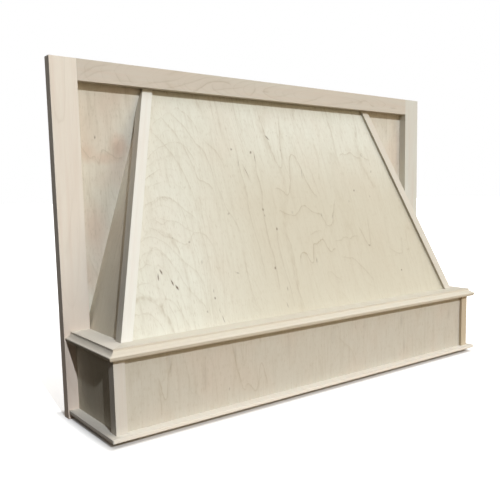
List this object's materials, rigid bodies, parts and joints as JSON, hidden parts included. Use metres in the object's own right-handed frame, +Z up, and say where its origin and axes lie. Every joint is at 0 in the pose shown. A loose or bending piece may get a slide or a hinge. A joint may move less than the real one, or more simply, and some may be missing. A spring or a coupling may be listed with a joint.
{
  "type": "wooden range hood cover",
  "caption": "Wooden hood cover for a gap between wall cabinets: face frame, slanted plywood hood with proud corner strips, moulded mantle, and an apron box on a thin ledge.",
  "frame": {"origin": "middle of the face frame's top edge, half way through the frame's thickness", "axes": "+X to the viewer's right along the frame, -Y out of the frame towards the room, +Z up; the whole part is below the origin"},
  "size_m": [0.9144, 0.2267, 0.6096],
  "materials": {
    "solid_maple": "sanded, unfinished",
    "maple_plywood": "sanded, unfinished veneer face",
    "thin_plywood": "sanded, unfinished veneer face",
    "softwood": "sawn and planed, unfinished",
    "screw_steel": "zinc plated"
  },
  "bodies": {
    "root": {"stile_left": "solid_maple", "stile_right": "solid_maple", "top_rail": "solid_maple", "hood_corner_strip_left": "solid_maple", "hood_corner_strip_right": "solid_maple", "mantle_front": "solid_maple", "mantle_return_left": "solid_maple", "mantle_return_right": "solid_maple", "apron_corner_strip_left": "solid_maple", "apron_corner_strip_right": "solid_maple", "ledge_front": "solid_maple", "ledge_return_left": "solid_maple", "ledge_return_right": "solid_maple", "hood_front_panel": "maple_plywood", "hood_side_left": "maple_plywood", "hood_side_right": "maple_plywood", "apron_front_board": "maple_plywood", "apron_side_left": "maple_plywood", "apron_side_right": "maple_plywood", "recess_panel_left": "thin_plywood", "recess_panel_right": "thin_plywood", "top_nailer": "softwood", "recess_cleat_left": "softwood", "recess_cleat_right": "softwood", "foot_cleat_front": "softwood", "foot_cleat_left": "softwood", "foot_cleat_right": "softwood", "apron_cleat_front": "softwood", "apron_cleat_left": "softwood", "apron_cleat_right": "softwood", "liner_cleat_front": "softwood", "liner_cleat_left": "softwood", "liner_cleat_right": "softwood", "rail_pocket_screws": "screw_steel", "stile_screws": "screw_steel", "nailer_screws": "screw_steel"}
  },
  "joints": []
}
